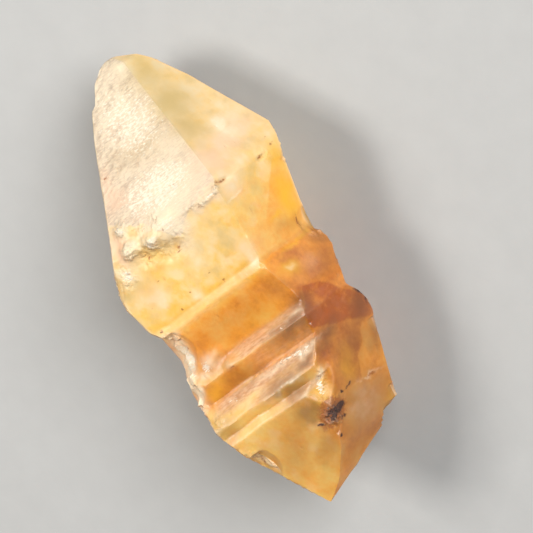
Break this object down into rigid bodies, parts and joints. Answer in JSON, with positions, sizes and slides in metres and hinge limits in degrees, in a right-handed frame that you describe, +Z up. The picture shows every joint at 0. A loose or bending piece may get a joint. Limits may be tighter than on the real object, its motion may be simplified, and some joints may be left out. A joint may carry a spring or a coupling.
{
  "type": "rough sapphire crystal",
  "caption": "Loose rough sapphire: a stepped hexagonal crystal with a blunt tip, growth ledges, chipped edges and a broken base, lying on a long flat face.",
  "frame": {"origin": "middle of the crystal's box, on the surface that it rests on", "axes": "+X along the crystal's long axis towards its blunt tip, +Z up from the resting face, +Y across the crystal"},
  "size_m": [0.0202, 0.01, 0.0077],
  "materials": {
    "yellow_sapphire": "translucent yellow to orange corundum, etched and striated on one upper face, glassy on the others, with brown iron stain in its pits and breaks"
  },
  "bodies": {
    "root": {"sapphire_crystal": "yellow_sapphire"}
  },
  "joints": []
}
